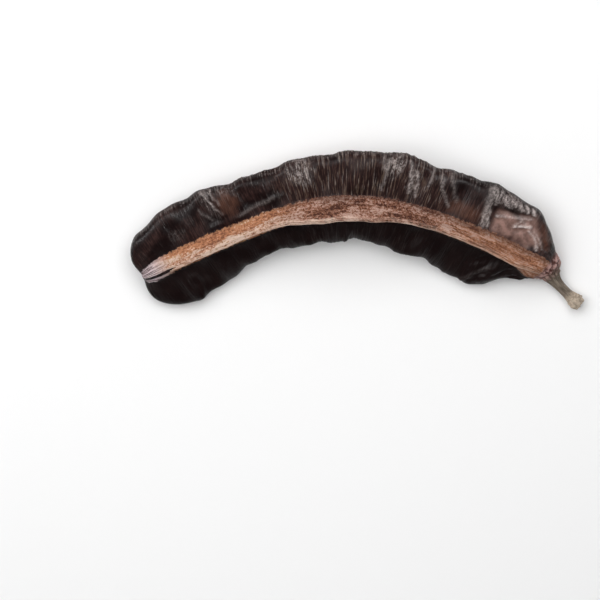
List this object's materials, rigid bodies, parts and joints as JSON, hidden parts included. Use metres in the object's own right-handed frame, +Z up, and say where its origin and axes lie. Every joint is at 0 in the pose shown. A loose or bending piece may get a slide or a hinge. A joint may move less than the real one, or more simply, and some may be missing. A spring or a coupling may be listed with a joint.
{
  "type": "aridan pod",
  "caption": "Dried aridan fruit pod: a shallow arch with thick fleshy lobes, thin woody wings square to them and a short stalk, lying on its side.",
  "frame": {"origin": "centre of the pod's bounding box in plan, on the ground it lies on", "axes": "+X along the pod from its blunt tip to the stalk, +Y towards the outside of the arch, +Z up"},
  "size_m": [0.1944, 0.0798, 0.0372],
  "materials": {
    "pod_skin": "dried pod skin: near-black glossy wrinkled lobes, matt orange-brown fibrous wings, pale grey-brown stalk end"
  },
  "bodies": {
    "root": {"aridan_pod": "pod_skin"}
  },
  "joints": []
}
